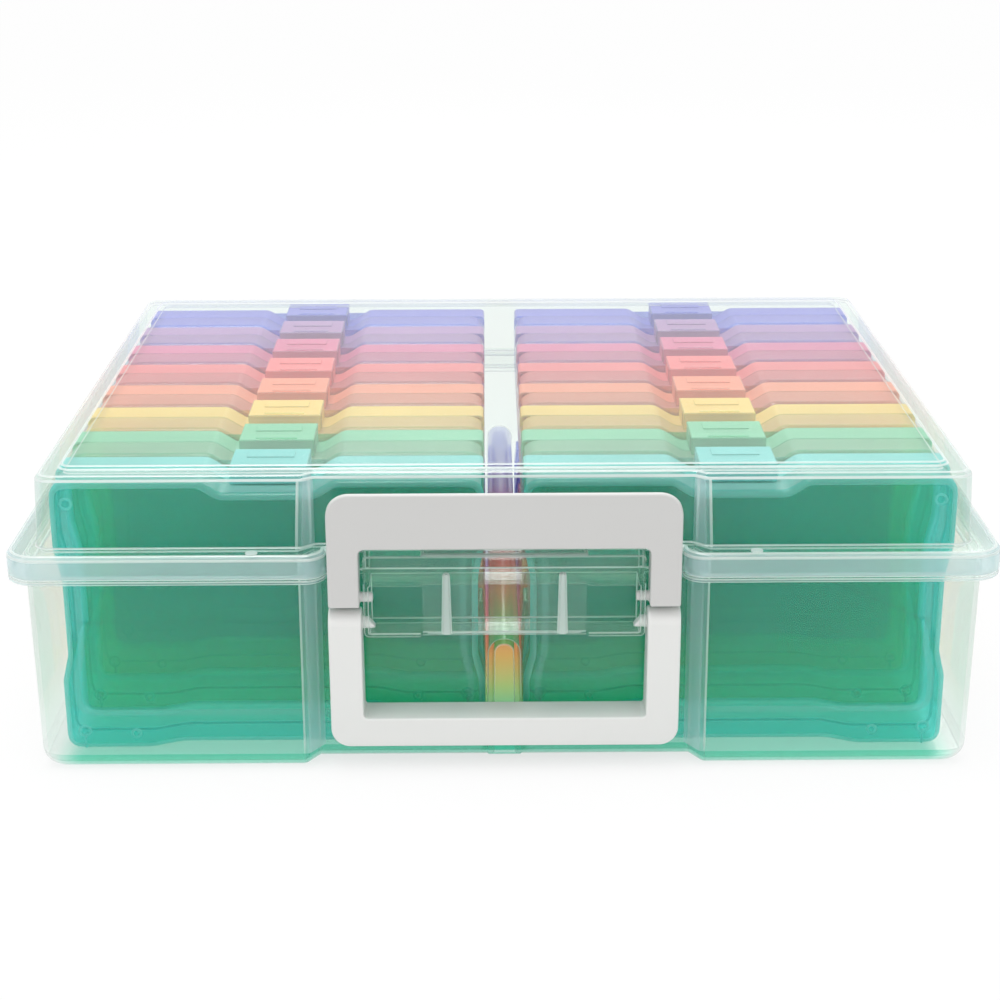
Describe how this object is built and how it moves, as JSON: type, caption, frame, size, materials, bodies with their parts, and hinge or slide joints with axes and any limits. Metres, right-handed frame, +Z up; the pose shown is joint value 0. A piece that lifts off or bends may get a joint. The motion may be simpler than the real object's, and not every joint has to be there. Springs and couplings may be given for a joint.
{
  "type": "photo keeper case",
  "caption": "Clear hinged storage case with a front snap latch and carry handle, holding two columns of coloured snap-shut photo cases.",
  "frame": {"origin": "centre of the case's bounding box at the height of the surface it stands on", "axes": "+Z up, +X along the front from left to right, -Y towards the user, the latch and the handle are at -Y and the hinge at +Y"},
  "size_m": [0.387, 0.313, 0.124],
  "materials": {
    "clear_shell": "clear, slightly milky polypropylene, glossy outside",
    "white_plastic": "satin white moulding with a fine grain",
    "tinted_teal": "see-through teal polypropylene",
    "tinted_green": "see-through green polypropylene",
    "tinted_yellow": "see-through yellow polypropylene",
    "tinted_orange": "see-through orange polypropylene",
    "tinted_red": "see-through red polypropylene",
    "tinted_pink": "see-through pink polypropylene",
    "tinted_purple": "see-through purple polypropylene",
    "tinted_blue": "see-through blue polypropylene"
  },
  "bodies": {
    "tub_with_cases": {"base_tub": "clear_shell", "teal_left_cover": "tinted_teal", "teal_left_tray": "tinted_teal", "teal_right_cover": "tinted_teal", "teal_right_tray": "tinted_teal", "green_left_cover": "tinted_green", "green_left_tray": "tinted_green", "green_right_cover": "tinted_green", "green_right_tray": "tinted_green", "yellow_left_cover": "tinted_yellow", "yellow_left_tray": "tinted_yellow", "yellow_right_cover": "tinted_yellow", "yellow_right_tray": "tinted_yellow", "orange_left_cover": "tinted_orange", "orange_left_tray": "tinted_orange", "orange_right_cover": "tinted_orange", "orange_right_tray": "tinted_orange", "red_left_cover": "tinted_red", "red_left_tray": "tinted_red", "red_right_cover": "tinted_red", "red_right_tray": "tinted_red", "pink_left_cover": "tinted_pink", "pink_left_tray": "tinted_pink", "pink_right_cover": "tinted_pink", "pink_right_tray": "tinted_pink", "purple_left_cover": "tinted_purple", "purple_left_tray": "tinted_purple", "purple_right_cover": "tinted_purple", "purple_right_tray": "tinted_purple", "blue_left_cover": "tinted_blue", "blue_left_tray": "tinted_blue", "blue_right_cover": "tinted_blue", "blue_right_tray": "tinted_blue"},
    "hinged_lid": {"lid": "clear_shell"},
    "snap_latch": {"latch": "white_plastic"},
    "handle": {"carry_handle": "white_plastic"}
  },
  "joints": [
    {"name": "lid_hinge", "type": "hinge", "parent": "tub_with_cases", "child": "hinged_lid", "pos_m": [0, 0.1533, 0.0834], "axis": [-1, 0, 0], "range_deg": [0, 105]},
    {"name": "latch_swing", "type": "hinge", "parent": "tub_with_cases", "child": "snap_latch", "pos_m": [0, -0.1523, 0.0765], "axis": [1, 0, 0], "range_deg": [0, 90]},
    {"name": "handle_swing", "type": "hinge", "parent": "tub_with_cases", "child": "handle", "pos_m": [0, -0.1505, 0.0652], "axis": [-1, 0, 0], "range_deg": [0, 90]}
  ]
}
